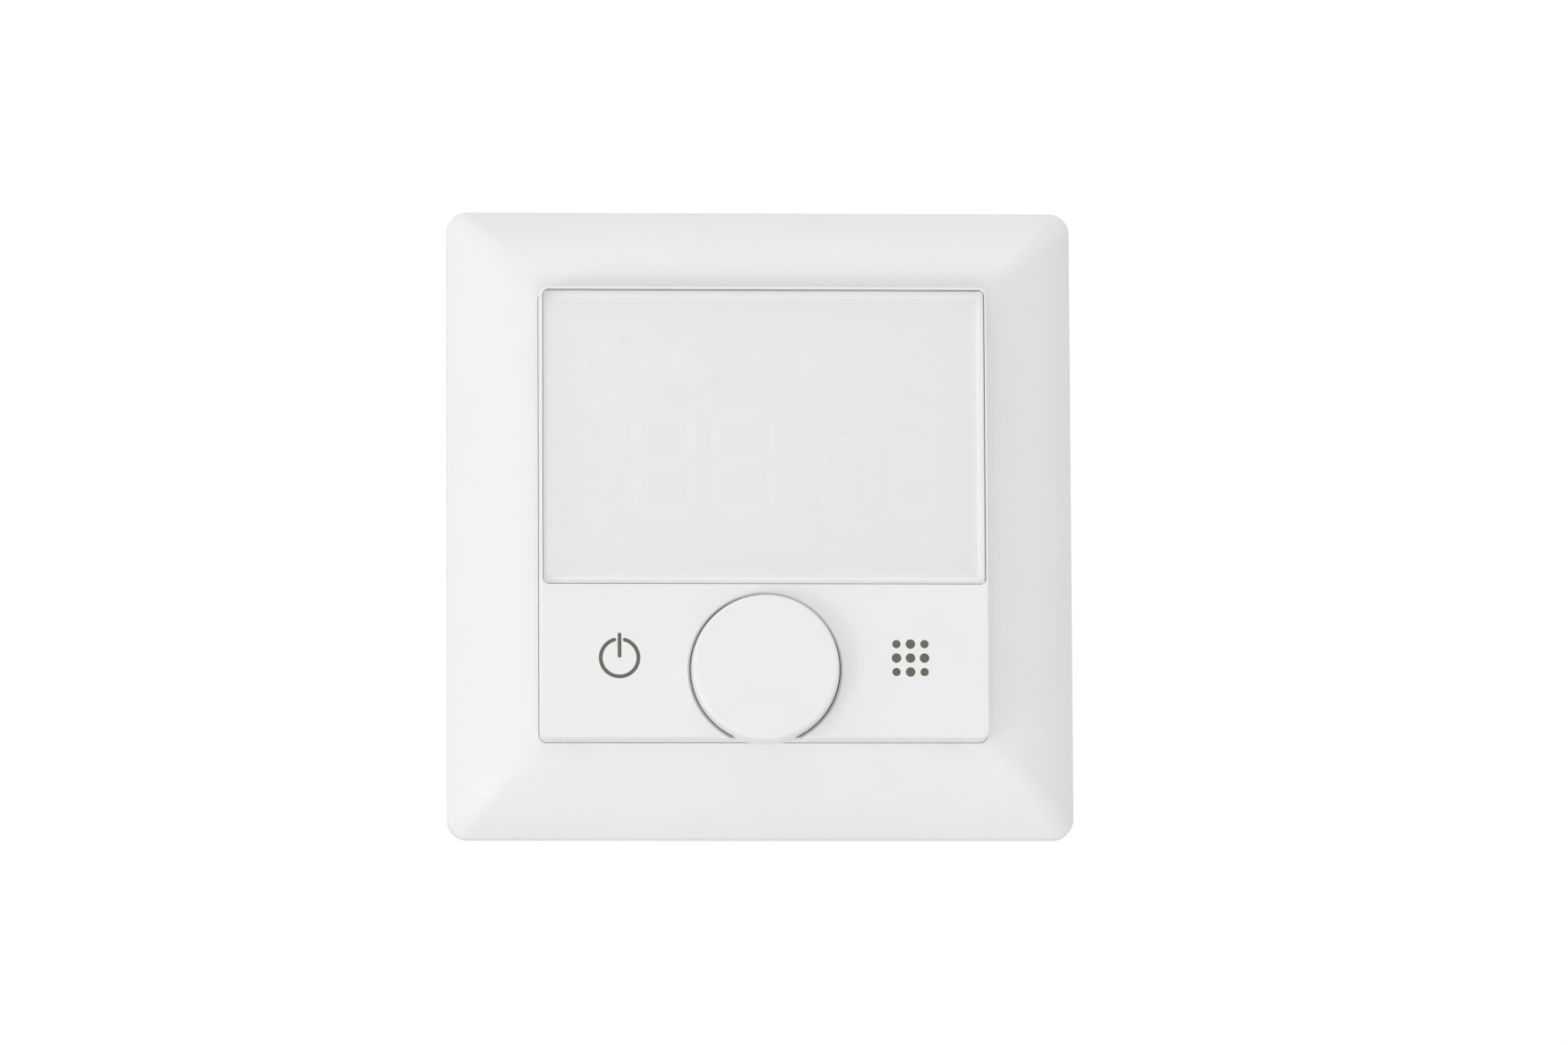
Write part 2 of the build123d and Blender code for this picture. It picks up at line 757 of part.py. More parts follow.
base_width = inside_width - 2 * base_gap
base_height = inside_height - 2 * base_gap
hook_top = flange_size / 2 + window_gap / 2
with BuildPart() as front_base:
    with BuildSketch(at(base_back)):
        RectangleRounded(base_width, base_height, cover_corner_r / 2)
    extrude(amount=base_thickness)
    with BuildSketch(at(base_front)):
        RectangleRounded(base_width, base_height, cover_corner_r / 2)
        Rectangle(base_width - 2 * rail_width, base_height - 2 * rail_width, mode=Mode.SUBTRACT)
        with Locations(*post_spots):
            Circle(post_r + board_gap, mode=Mode.SUBTRACT)
    extrude(amount=board_back - base_front)
    with BuildSketch(at(base_back)):
        Rectangle(plug_width + 2 * window_gap, plug_height + 2 * window_gap)
        with Locations(*post_spots):
            Circle(base_screw_r + screw_gap)
    extrude(amount=base_thickness, mode=Mode.SUBTRACT)
    # Four hooks catch behind the rim of the power unit's flange, two above and two below.
    for side in (-1, 1):
        with BuildSketch(at(plate_thickness + lid_gap)):
            with Locations((0, side * (hook_top + hook_thickness / 2))):
                with GridLocations(hook_spread, 1, 2, 1):
                    Rectangle(hook_width, hook_thickness)
        extrude(amount=base_back - plate_thickness - lid_gap)
        with BuildSketch(at(plate_thickness + lid_gap)):
            with Locations((0, side * (hook_top - hook_barb / 2))):
                with GridLocations(hook_spread, 1, 2, 1):
                    Rectangle(hook_width, hook_barb)
        extrude(amount=hook_barb_height)
front_base.part.label = "front_base"
export_step(front_base.part, "parts/front_base.step")

with BuildPart() as base_screws:
    screws(
        post_spots, base_back, base_back - base_screw_head, base_screw_head_r, base_screw_r,
        base_front + base_screw_length - screw_end_gap, base_screw_r,
    )  # fmt: skip
base_screws.part.label = "base_screws"
export_step(base_screws.part, "parts/base_screws.step")

# ---------------------------------------------------------------- wall plate
plate_screw_spots = [(a * screw_reach, b * screw_reach) for a in (-1, 1) for b in (-1, 1)]
with BuildPart() as mounting_plate:
    with BuildSketch(at(0)):
        RectangleRounded(plate_width, plate_height, plate_corner_r)
        clipped_square(power_size + 2 * plate_opening_gap, power_clip, mode=Mode.SUBTRACT)
        with PolarLocations(box_screw_pcd / 2, 4):
            Circle(box_screw_hole_r, mode=Mode.SUBTRACT)
        with Locations(*plate_screw_spots):
            Circle(plate_screw_r + screw_gap, mode=Mode.SUBTRACT)
    extrude(amount=plate_thickness)
mounting_plate.part.label = "mounting_plate"
export_step(mounting_plate.part, "parts/mounting_plate.step")

with BuildPart() as plate_screws:
    screws(
        plate_screw_spots, flange_front, flange_front + plate_screw_head, plate_screw_head_r,
        plate_screw_r, lid_gap, plate_screw_r,
    )  # fmt: skip
plate_screws.part.label = "plate_screws"
export_step(plate_screws.part, "parts/plate_screws.step")

# ---------------------------------------------------------------- power unit
cavity_size = power_size - 2 * power_wall
cavity_clip = power_clip - power_wall * (2 - math.sqrt(2))
deep_floor = power_wall - power_depth
shallow_floor = power_wall - step_depth
pillar_spots = [(a * pillar_spread / 2, b * pillar_spread / 2) for a in (-1, 1) for b in (-1, 1)]
with BuildPart() as power_housing:
    with BuildSketch(at(plate_thickness)):
        Rectangle(flange_size, flange_size)
        with Locations(*plate_screw_spots):
            Circle(plate_screw_r + screw_gap, mode=Mode.SUBTRACT)
        for side in (-1, 1):
            with Locations((0, side * flange_size / 2)):
                with GridLocations(hook_spread, 1, 2, 1):
                    Rectangle(hook_width + 2 * lid_gap, 2 * hook_barb, mode=Mode.SUBTRACT)
    extrude(amount=hook_barb_height + 2 * lid_gap)
    with BuildSketch(at(plate_thickness + hook_barb_height + 2 * lid_gap)):
        Rectangle(flange_size, flange_size)
        with Locations(*plate_screw_spots):
            Circle(plate_screw_r + screw_gap, mode=Mode.SUBTRACT)
    extrude(amount=flange_thickness - hook_barb_height - 2 * lid_gap)
    with BuildSketch(at(-power_depth)):
        clipped_square(power_size, power_clip)
    extrude(amount=power_depth + plate_thickness)
    with BuildSketch(at(-step_depth)):
        with Locations((0, step_line - power_size / 2)):
            Rectangle(2 * power_size, power_size)
    extrude(amount=-power_depth, mode=Mode.SUBTRACT)
    with BuildSketch(at(shallow_floor)):
        clipped_square(cavity_size, cavity_clip)
    extrude(amount=flange_front - shallow_floor, mode=Mode.SUBTRACT)
    with BuildSketch(at(deep_floor)):
        clipped_square(cavity_size, cavity_clip)
        with Locations((0, step_line + power_wall - power_size / 2)):
            Rectangle(2 * power_size, power_size, mode=Mode.SUBTRACT)
    extrude(amount=shallow_floor - deep_floor, mode=Mode.SUBTRACT)
    with BuildSketch(at(lid_back)):
        clipped_square(cavity_size + 2 * lid_seat, cavity_clip)
    extrude(amount=lid_thickness, mode=Mode.SUBTRACT)
    # Pillars carry the power board and take the lid's screws.
    for index, floor in enumerate((shallow_floor, deep_floor)):
        with BuildSketch(at(floor)):
            with Locations(*[spot for spot in pillar_spots if (spot[1] > 0) == bool(index)]):
                Circle(pillar_r)
        extrude(amount=power_board_back - floor)
    with BuildSketch(at(power_board_back)):
        with Locations(*pillar_spots):
            Circle(lid_screw_r + screw_gap)
    extrude(amount=-lid_screw_bite, mode=Mode.SUBTRACT)
    # Slots let the terminals' tails through to the board.
    with BuildSketch(at(-step_depth)):
        with Locations((0, (step_line + terminal_bottom) / 2)):
            with GridLocations(pole_pitch, 1, pole_count, 1):
                Rectangle(tail_slot, tail_slot)
    extrude(amount=power_wall, mode=Mode.SUBTRACT)
power_housing.part.label = "power_housing"
export_step(power_housing.part, "parts/power_housing.step")

with BuildPart() as power_lid:
    with BuildSketch(at(lid_back)):
        clipped_square(cavity_size + 2 * (lid_seat - lid_gap), cavity_clip)
    extrude(amount=lid_thickness)
    with BuildSketch(at(power_board_front)):
        with Locations(*pillar_spots):
            Circle(pillar_r)
    extrude(amount=lid_back - power_board_front)
    with BuildSketch(at(power_board_front)):
        with Locations(*pillar_spots):
            Circle(lid_screw_r + screw_gap)
        Rectangle(plug_width + 2 * (plug_wall + window_gap), plug_height + 2 * (plug_wall + window_gap))
    extrude(amount=flange_front - power_board_front, mode=Mode.SUBTRACT)
power_lid.part.label = "power_lid"
export_step(power_lid.part, "parts/power_lid.step")

with BuildPart() as lid_screws:
    screws(
        pillar_spots, flange_front, flange_front + lid_screw_head, lid_screw_head_r, lid_screw_r,
        power_board_back - lid_screw_bite + screw_end_gap, lid_screw_r,
    )  # fmt: skip
lid_screws.part.label = "lid_screws"
export_step(lid_screws.part, "parts/lid_screws.step")

with BuildPart() as power_board:
    with BuildSketch(at(power_board_back)):
        clipped_square(cavity_size - 2 * power_board_gap, cavity_clip)
        with Locations(*pillar_spots):
            Circle(lid_screw_r + screw_gap, mode=Mode.SUBTRACT)
    extrude(amount=power_board_thickness)
power_board.part.label = "power_board"
export_step(power_board.part, "parts/power_board.step")

with BuildPart() as board_socket:
    with BuildSketch(at(power_board_front)):
        Rectangle(plug_width + 2 * plug_wall, plug_height + 2 * plug_wall)
    extrude(amount=socket_top - power_board_front)
    with BuildSketch(at(socket_top)):
        with GridLocations(plug_pitch, plug_pitch, plug_pins, 2):
            Rectangle(socket_bore, socket_bore)
    extrude(amount=-socket_bore_depth, mode=Mode.SUBTRACT)
board_socket.part.label = "board_socket"
export_step(board_socket.part, "parts/board_socket.step")

# ---------------------------------------------------------------- terminals
terminal_mid = (step_line + terminal_bottom) / 2
block_width = pole_count * pole_pitch
cage_width = pole_pitch - 2 * terminal_wall
cage_depth = terminal_end - terminal_screw_head - terminal_wall - step_depth - terminal_wall
wire_z_length = terminal_height - 2 * terminal_wall
with BuildPart() as terminal_block:
    with BuildSketch(at(-step_depth)):
        with Locations((0, terminal_mid)):
            Rectangle(block_width, terminal_height)
    extrude(amount=step_depth - terminal_end)
    # One chamber for each pole's cage, open to the rear for its screw.
    with BuildSketch(at(-step_depth - terminal_wall)):
        with Locations((0, terminal_mid)):
            with GridLocations(pole_pitch, 1, pole_count, 1):
                Rectangle(cage_width, wire_z_length)
    extrude(amount=-cage_depth, mode=Mode.SUBTRACT)
    with BuildSketch(at(-terminal_end)):
        with Locations((0, terminal_mid)):
            with GridLocations(pole_pitch, 1, pole_count, 1):
                Circle(terminal_screw_head_r + 2 * screw_gap)
    extrude(amount=terminal_screw_head + terminal_wall, mode=Mode.SUBTRACT)
    # Wires come in from below.
    with BuildSketch(Plane.XY.offset(terminal_bottom)):
        with Locations((0, step_depth + wire_depth)):
            with GridLocations(pole_pitch, 1, pole_count, 1):
                Rectangle(wire_side, wire_side)
    extrude(amount=terminal_wall, mode=Mode.SUBTRACT)
    with BuildSketch(at(-step_depth)):
        with Locations((0, terminal_mid)):
            with GridLocations(pole_pitch, 1, pole_count, 1):
                Rectangle(tail_slot, tail_slot)
    extrude(amount=-terminal_wall, mode=Mode.SUBTRACT)
terminal_block.part.label = "terminal_block"
export_step(terminal_block.part, "parts/terminal_block.step")

# Each clamp is a brass cage round the wire with a tail to the board.
clamp_width = cage_width - 2 * clamp_gap
clamp_front = -step_depth - terminal_wall - clamp_gap
clamp_depth = cage_depth - 2 * clamp_gap
clamp_bore = clamp_width - 2 * clamp_wall
with BuildPart() as terminal_clamps:
    with BuildSketch(at(clamp_front)):
        with Locations((0, terminal_mid)):
            with GridLocations(pole_pitch, 1, pole_count, 1):
                Rectangle(clamp_width, wire_z_length - 2 * clamp_gap)
    extrude(amount=-clamp_depth)
    with BuildSketch(Plane.XY.offset(terminal_bottom)):
        with Locations((0, step_depth + wire_depth)):
            with GridLocations(pole_pitch, 1, pole_count, 1):
                Rectangle(clamp_bore, wire_side)
    extrude(amount=terminal_height, mode=Mode.SUBTRACT)
    with BuildSketch(at(clamp_front - clamp_depth)):
        with Locations((0, terminal_mid)):
            with GridLocations(pole_pitch, 1, pole_count, 1):
                Circle(terminal_screw_r + screw_gap)
    extrude(amount=clamp_depth / 2, mode=Mode.SUBTRACT)
    with BuildSketch(at(clamp_front)):
        with Locations((0, terminal_mid)):
            with GridLocations(pole_pitch, 1, pole_count, 1):
                Rectangle(tail_side, tail_side)
    extrude(amount=power_board_back - clamp_front)
terminal_clamps.part.label = "terminal_clamps"
export_step(terminal_clamps.part, "parts/terminal_clamps.step")

screw_back = terminal_screw_sink - terminal_end
screw_tip = -step_depth - wire_depth - wire_side / 2 + terminal_screw_bite
with BuildPart() as terminal_screws:
    with BuildSketch(at(screw_back)):
        with Locations((0, terminal_mid)):
            with GridLocations(pole_pitch, 1, pole_count, 1):
                Circle(terminal_screw_head_r)
    extrude(amount=terminal_screw_head)
    with BuildSketch(at(screw_back)):
        with Locations((0, terminal_mid)):
            with GridLocations(pole_pitch, 1, pole_count, 1):
                Circle(terminal_screw_r)
    extrude(amount=screw_tip - screw_back)
    with BuildSketch(at(screw_back)):
        with Locations((0, terminal_mid)):
            with GridLocations(pole_pitch, 1, pole_count, 1):
                Rectangle(2 * terminal_screw_head_r, terminal_slot_width)
    extrude(amount=terminal_screw_head / 2, mode=Mode.SUBTRACT)
terminal_screws.part.label = "terminal_screws"
export_step(terminal_screws.part, "parts/terminal_screws.step")

# ---------------------------------------------------------------- relay
relay_floor = power_board_back
relay_deck = relay_floor - relay_base_thickness
relay_end = relay_floor - relay_depth
with BuildPart() as relay_base:
    with BuildSketch(at(relay_floor)):
        with Locations((0, relay_mid)):
            Rectangle(relay_width, relay_height)
    extrude(amount=-relay_base_thickness)
relay_base.part.label = "relay_base"
export_step(relay_base.part, "parts/relay_base.step")

with BuildPart() as relay_case:
    with BuildSketch(at(relay_deck)):
        with Locations((0, relay_mid)):
            Rectangle(relay_width, relay_height)
    extrude(amount=relay_end - relay_deck)
    with BuildSketch(at(relay_deck)):
        with Locations((0, relay_mid)):
            Rectangle(relay_width - 2 * relay_wall, relay_height - 2 * relay_wall)
    extrude(amount=relay_end + relay_wall - relay_deck, mode=Mode.SUBTRACT)
relay_case.part.label = "relay_case"
export_step(relay_case.part, "parts/relay_case.step")

yoke_end = relay_end + relay_wall + armature_room + armature_thickness + hinge_gap
armature_face = yoke_end - hinge_gap
pole_end = armature_face + armature_gap
foot_length = yoke_x + yoke_thickness / 2 - (coil_x - coil_r)
with BuildPart() as relay_yoke:
    with BuildSketch(at(relay_deck)):
        with Locations((yoke_x + yoke_thickness / 2 - foot_length / 2, relay_mid)):
            Rectangle(foot_length, yoke_width)
    extrude(amount=-yoke_thickness)
    with BuildSketch(at(relay_deck)):
        with Locations((yoke_x, relay_mid)):
            Rectangle(yoke_thickness, yoke_width)
    extrude(amount=yoke_end - relay_deck)
    with BuildSketch(at(relay_deck - yoke_thickness)):
        with Locations((coil_x, relay_mid)):
            Circle(core_r)
    extrude(amount=pole_end - relay_deck + yoke_thickness)
relay_yoke.part.label = "relay_yoke"
export_step(relay_yoke.part, "parts/relay_yoke.step")

coil_front = relay_deck - yoke_thickness
coil_end = pole_end + coil_stand
with BuildPart() as relay_coil:
    with BuildSketch(at(coil_front)):
        with Locations((coil_x, relay_mid)):
            Circle(coil_r - coil_flange_lip)
    extrude(amount=coil_end - coil_front)
    for start in (coil_front, coil_end + coil_flange):
        with BuildSketch(at(start)):
            with Locations((coil_x, relay_mid)):
                Circle(coil_r)
        extrude(amount=-coil_flange)
    with BuildSketch(at(coil_front)):
        with Locations((coil_x, relay_mid)):
            Circle(core_r)
    extrude(amount=coil_end - coil_front, mode=Mode.SUBTRACT)
relay_coil.part.label = "relay_coil"
export_step(relay_coil.part, "parts/relay_coil.step")

armature_left = contact_x - contact_r
armature_right = yoke_x + yoke_thickness / 2
with BuildPart() as relay_armature:
    with BuildSketch(at(armature_face)):
        with Locations(((armature_left + armature_right) / 2, relay_mid)):
            Rectangle(armature_right - armature_left, yoke_width)
    extrude(amount=-armature_thickness)
    with BuildSketch(at(armature_face)):
        with Locations((contact_x, relay_mid)):
            Circle(contact_r)
    extrude(amount=contact_blade)
relay_armature.part.label = "relay_armature"
export_step(relay_armature.part, "parts/relay_armature.step")

with BuildPart() as relay_contact:
    with BuildSketch(at(relay_deck)):
        with Locations((contact_x, relay_mid)):
            Rectangle(contact_blade, 4 * contact_r)
    extrude(amount=armature_face + contact_blade + contact_gap + contact_blade - relay_deck)
    with BuildSketch(at(armature_face + contact_blade + contact_gap)):
        with Locations((contact_x, relay_mid)):
            Circle(contact_r)
    extrude(amount=contact_blade)
relay_contact.part.label = "relay_contact"
export_step(relay_contact.part, "parts/relay_contact.step")

# ---------------------------------------------------------------- supply
row_mid = (relay_mid - relay_height / 2 + step_line + power_wall) / 2
core_x = -cavity_size / 2 + core_width / 2 + core_inset
core_window = (core_width - 3 * core_leg) / 2
with BuildPart() as transformer_core:
    with BuildSketch(at(power_board_back)):
        with Locations((core_x, row_mid)):
            Rectangle(core_width, core_height)
            with GridLocations(core_leg + core_window, 1, 2, 1):
                Rectangle(core_window, core_height - 2 * core_leg, mode=Mode.SUBTRACT)
    extrude(amount=-core_depth)
transformer_core.part.label = "transformer_core"
export_step(transformer_core.part, "parts/transformer_core.step")

winding = core_window - bobbin_gap
bobbin_height = core_height - 2 * core_leg - 2 * bobbin_end_gap
with BuildPart() as transformer_bobbin:
    with BuildSketch(at(power_board_back)):
        with Locations((core_x, row_mid)):
            Rectangle(core_leg + 2 * winding, bobbin_height)
            Rectangle(core_leg, core_height, mode=Mode.SUBTRACT)
    extrude(amount=-core_depth - bobbin_proud)
transformer_bobbin.part.label = "transformer_bobbin"
export_step(transformer_bobbin.part, "parts/transformer_bobbin.step")

capacitor_x = core_x + core_width / 2 + part_spacing + capacitor_r
capacitor_pitch = 2 * capacitor_r + part_spacing
with BuildPart() as bulk_capacitors:
    with BuildSketch(at(power_board_back)):
        with Locations((capacitor_x, row_mid), (capacitor_x + capacitor_pitch, row_mid)):
            Circle(capacitor_r)
    extrude(amount=-capacitor_length)
    fillet(faces().sort_by(Axis.Y)[-2:].edges(), capacitor_edge_r)
bulk_capacitors.part.label = "bulk_capacitors"
export_step(bulk_capacitors.part, "parts/bulk_capacitors.step")

varistor_x = capacitor_x + capacitor_pitch + capacitor_r + varistor_gap + varistor_thickness / 2
with BuildPart() as varistor:
    with BuildSketch(Plane.YZ.offset(varistor_x - varistor_thickness / 2)):
        with Locations((-power_board_back + varistor_r + varistor_stand, row_mid)):
            Circle(varistor_r)
    extrude(amount=varistor_thickness)
    with BuildSketch(at(power_board_back)):
        with Locations((varistor_x, row_mid)):
            with GridLocations(1, 2 * (varistor_r - varistor_lead_inset), 1, 2):
                Circle(varistor_lead_r)
    extrude(amount=-varistor_r)
varistor.part.label = "varistor"
export_step(varistor.part, "parts/varistor.step")

fuse_x = varistor_x + varistor_thickness / 2 + fuse_gap + fuse_r
with BuildPart() as fuse:
    with BuildSketch(Plane.XY.offset(row_mid - fuse_length / 2)):
        with Locations((fuse_x, -power_board_back + fuse_r)):
            Circle(fuse_r)
    extrude(amount=fuse_length)
fuse.part.label = "fuse"
export_step(fuse.part, "parts/fuse.step")
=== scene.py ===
"""A wall thermostat: white domed frame, glass display, touch panel and round knob.

Lengths in this script are metres unless a name ends in _mm. The wall is the plane y = 0, the room is
on the -Y side and +Z is up.
"""

import math

import bmesh
import bpy
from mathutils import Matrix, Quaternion, Vector


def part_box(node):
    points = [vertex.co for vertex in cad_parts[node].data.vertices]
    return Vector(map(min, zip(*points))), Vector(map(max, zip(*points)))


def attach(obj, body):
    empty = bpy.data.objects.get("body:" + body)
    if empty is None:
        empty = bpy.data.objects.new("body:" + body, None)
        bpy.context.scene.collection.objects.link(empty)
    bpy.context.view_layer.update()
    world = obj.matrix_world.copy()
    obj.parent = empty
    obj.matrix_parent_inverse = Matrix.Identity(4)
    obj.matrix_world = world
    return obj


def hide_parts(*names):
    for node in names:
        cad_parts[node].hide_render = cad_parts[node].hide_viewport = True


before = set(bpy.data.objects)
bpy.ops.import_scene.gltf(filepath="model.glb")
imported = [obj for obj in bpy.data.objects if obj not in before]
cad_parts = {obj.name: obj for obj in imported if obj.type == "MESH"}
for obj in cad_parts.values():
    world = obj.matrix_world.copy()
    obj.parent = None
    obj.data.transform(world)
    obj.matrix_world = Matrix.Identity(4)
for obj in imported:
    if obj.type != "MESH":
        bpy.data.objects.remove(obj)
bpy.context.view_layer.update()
MM = 0.001

# --- the view: a little from the left and from below, and turned by a hair ---
VIEW_AZIMUTH = -3.02
VIEW_ELEVATION = -7.65
VIEW_ROLL = -0.287
VIEW_DISTANCE = 1.5
PIXELS_PER_MM = 8.816  # at the wall
IMAGE_WIDTH = 1772
SENSOR_MM = 36.0
AIM_MM = (3.28, 0.0, 0.65)


def node_box(name):
    low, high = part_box(name)
    return Vector(low), Vector(high)


# ------------------------------------------------------------------ material helpers
NOISE_ROUGHNESS = 0.55  # how strongly each finer octave of noise counts

class Shader:
    """A material with one Principled shader, and short calls for the nodes that feed it."""

    def __init__(self, name):
        self.material = bpy.data.materials.new(name)
        self.material.use_nodes = True
        self.nodes = self.material.node_tree.nodes
        self.links = self.material.node_tree.links
        self.surface = self.nodes["Principled BSDF"]
        self.coordinates = self.add("ShaderNodeTexCoord").outputs["Object"]

    def add(self, kind, **settings):
        node = self.nodes.new(kind)
        for key, value in settings.items():
            setattr(node, key, value)
        return node

    def feed(self, socket, source):
        if hasattr(source, "is_output"):
            self.links.new(source, socket)
        else:
            socket.default_value = source
        return self

    def set(self, **values):
        for key, value in values.items():
            self.feed(self.surface.inputs[key.replace("_", " ")], value)
        return self

    def noise(self, scale, detail=4.0, stretch=None):
        node = self.add("ShaderNodeTexNoise")
        node.inputs["Scale"].default_value = scale
        node.inputs["Detail"].default_value = detail
        node.inputs["Roughness"].default_value = NOISE_ROUGHNESS
        source = self.coordinates
        if stretch:
            mapping = self.add("ShaderNodeMapping")
            mapping.inputs["Scale"].default_value = stretch
            self.links.new(source, mapping.inputs["Vector"])
            source = mapping.outputs["Vector"]
        self.links.new(source, node.inputs["Vector"])
        return node.outputs["Fac"]

    def cells(self, scale):
        node = self.add("ShaderNodeTexVoronoi")
        node.inputs["Scale"].default_value = scale
        self.links.new(self.coordinates, node.inputs["Vector"])
        return node.outputs["Distance"]

    def dots(self, spacing, radius, share, soft=0.5):
        """Scattered dots on surfaces that face the room: 1 in a dot, in that share of the places."""
        place = self.add("ShaderNodeCombineXYZ")
        self.links.new(self.part("X"), place.inputs["X"])
        self.links.new(self.part("Z"), place.inputs["Y"])
        node = self.add("ShaderNodeTexVoronoi", voronoi_dimensions="2D")
        node.inputs["Scale"].default_value = 1 / spacing
        self.links.new(place.outputs["Vector"], node.inputs["Vector"])
        reach = radius / spacing
        disc = self.span(node.outputs["Distance"], reach * (1 - soft), reach, 1.0, 0.0)
        parts = self.add("ShaderNodeSeparateColor")
        self.links.new(node.outputs["Color"], parts.inputs["Color"])
        chosen = self.math("LESS_THAN", parts.outputs["Red"], share)
        return self.math("MULTIPLY", disc, chosen)

    def span(self, source, low, high, start=0.0, end=1.0):
        """source, from low to high, spread over start to end."""
        node = self.add("ShaderNodeMapRange")
        self.links.new(source, node.inputs["Value"])
        for key, value in zip(("From Min", "From Max", "To Min", "To Max"), (low, high, start, end)):
            node.inputs[key].default_value = value
        return node.outputs["Result"]

    def math(self, operation, a, b=0.0):
        node = self.add("ShaderNodeMath", operation=operation)
        self.feed(node.inputs[0], a)
        self.feed(node.inputs[1], b)
        return node.outputs["Value"]

    def blend(self, share, a, b):
        """Colour a where share is 0 and colour b where it is 1."""
        node = self.add("ShaderNodeMix", data_type="RGBA")
        self.feed(node.inputs["Factor"], share)
        for socket, value in ((node.inputs[6], a), (node.inputs[7], b)):
            self.feed(socket, value if hasattr(value, "is_output") else (*value, 1.0))
        return node.outputs[2]

    def part(self, axis):
        node = self.add("ShaderNodeSeparateXYZ")
        self.links.new(self.coordinates, node.inputs["Vector"])
        return node.outputs[axis]

    def rim(self, node, width, soft):
        """1 within width of a node's outline, as seen from the front, and 0 inside."""
        low, high = node_box(node)
        middle, half = (low + high) / 2, (high - low) / 2
        bands = []
        for axis, index in (("X", 0), ("Z", 2)):
            off = self.math("ABSOLUTE", self.math("SUBTRACT", self.part(axis), middle[index]))
            bands.append(self.span(off, half[index] - width, half[index] - width + soft))
        return self.math("MAXIMUM", *bands)

    def bump(self, height, distance, strength=1.0):
        node = self.add("ShaderNodeBump")
        node.inputs["Strength"].default_value = strength
        node.inputs["Distance"].default_value = distance
        self.links.new(height, node.inputs["Height"])
        before = self.surface.inputs["Normal"]
        if before.is_linked:
            self.links.new(before.links[0].from_socket, node.inputs["Normal"])
        self.links.new(node.outputs["Normal"], before)
        return self


def tinted(colour, factor):
    return tuple(min(1.0, c * factor) for c in colour)


def moulded(name, colour, rough=0.42, grain=3200.0, depth=0.000004, mottle=0.02, flow=0.00003):
    """Moulded plastic: spark-eroded grain, faint flow waves and slightly uneven gloss."""
    shader = Shader(name)
    cloud = shader.noise(90.0, detail=3.0)
    shader.set(
        Base_Color=shader.blend(shader.span(cloud, 0.3, 0.7), tinted(colour, 1 - mottle), colour),
        Roughness=shader.span(shader.noise(420.0), 0.3, 0.7, rough - 0.05, rough + 0.06),
        IOR=1.5,
    )
    shader.bump(shader.noise(55.0, detail=1.0), flow, 0.5)
    shader.bump(shader.noise(grain, detail=2.0), depth, 0.8)
    return shader


def metal(name, colour, rough=0.3, brushed=None, scratch=0.000004):
    """Bare metal: brushed along one axis when brushed gives the stretch, else lightly tumbled."""
    shader = Shader(name)
    lines = shader.noise(900.0, detail=5.0, stretch=brushed or (1.0, 1.0, 1.0))
    stain = shader.noise(70.0, detail=3.0)
    shader.set(
        Base_Color=shader.blend(shader.span(stain, 0.3, 0.75), tinted(colour, 0.86), colour),
        Metallic=1.0,
        Roughness=shader.span(lines, 0.3, 0.7, rough * 0.7, rough * 1.35),
    )
    shader.bump(lines, scratch, 0.7)
    return shader


def paint(node, shader):
    """Gives a CAD node, or a new piece, this material all over."""
    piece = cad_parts[node] if isinstance(node, str) else node
    piece.data.materials.clear()
    piece.data.materials.append(shader.material)
    return piece


# ------------------------------------------------------------------ visible surfaces
WHITE = (0.86, 0.86, 0.85)
shell = moulded("white_shell", WHITE, rough=0.40)
cover = moulded("white_cover", (0.85, 0.85, 0.84), rough=0.36)
knob = moulded("white_knob", (0.85, 0.85, 0.835), rough=0.34)
paint("decor_frame", shell)
paint("front_cover", cover)
paint("knob_cap", knob)

print_ink = moulded("key_print", (0.13, 0.125, 0.10), rough=0.55, grain=6000.0, mottle=0.12)
paint("power_mark", print_ink)
paint("menu_mark", print_ink)

trim = metal("trim_chrome", (0.64, 0.65, 0.67), rough=0.14, scratch=0.0000015)
paint("knob_trim_ring", trim)

# The front glass: clear, with a fine grey line painted all round its edge, partly the glass's own ground edge
# and partly painted shade of the joint gap around it.
GLASS_EDGE_SHADE_WIDTH = 0.05 * MM
GLASS_EDGE_SHADE_FADE = 0.02 * MM
GLASS_FILM = 0.07  # how far the clear middle veils what lies under it
glass = Shader("front_glass")
# The grey rim is partly painted shade of the joint gap, partly the ground glass edge.
edge = glass.rim("display_glass", GLASS_EDGE_SHADE_WIDTH, GLASS_EDGE_SHADE_FADE)
glass.set(
    Base_Color=glass.blend(edge, (0.90, 0.92, 0.91), (0.50, 0.51, 0.50)),
    Alpha=glass.span(edge, 0.0, 1.0, GLASS_FILM, 1.0),
    IOR=1.5,
    Roughness=glass.span(glass.noise(150.0), 0.35, 0.75, 0.015, 0.05),
)
glass.bump(glass.noise(40.0, detail=1.0), 0.000008, 0.4)
paint("display_glass", glass)

# Painted light: the tape and the panel's border glow a little, though no lamp is there, to lift the shade
# under the glass's edge.
PAINTED_GLOW_COLOUR = (0.93, 0.95, 0.94)
TAPE_PAINTED_GLOW = 0.09
PANEL_PAINTED_GLOW = 0.06
PAINTED_GLOW_REACH = 1.2 * MM  # how far in the light gets on the panel

# The tape under the glass is a plain frame of its own here, a hair lower than in the design, so that
# the two faces that touch there don't flicker. Its inner edge closes right up to the panel.
TAPE_DROP = 0.015 * MM
TAPE_CORNER_CUT = 0.41 * MM
WINDOW_CORNER_CUT = 0.02 * MM
tape_shader = moulded("joint_tape", (0.885, 0.893, 0.887), rough=0.6)
# The tape glows a little: painted light, no lamp.
tape_shader.set(Emission_Color=(*PAINTED_GLOW_COLOUR, 1.0), Emission_Strength=TAPE_PAINTED_GLOW)


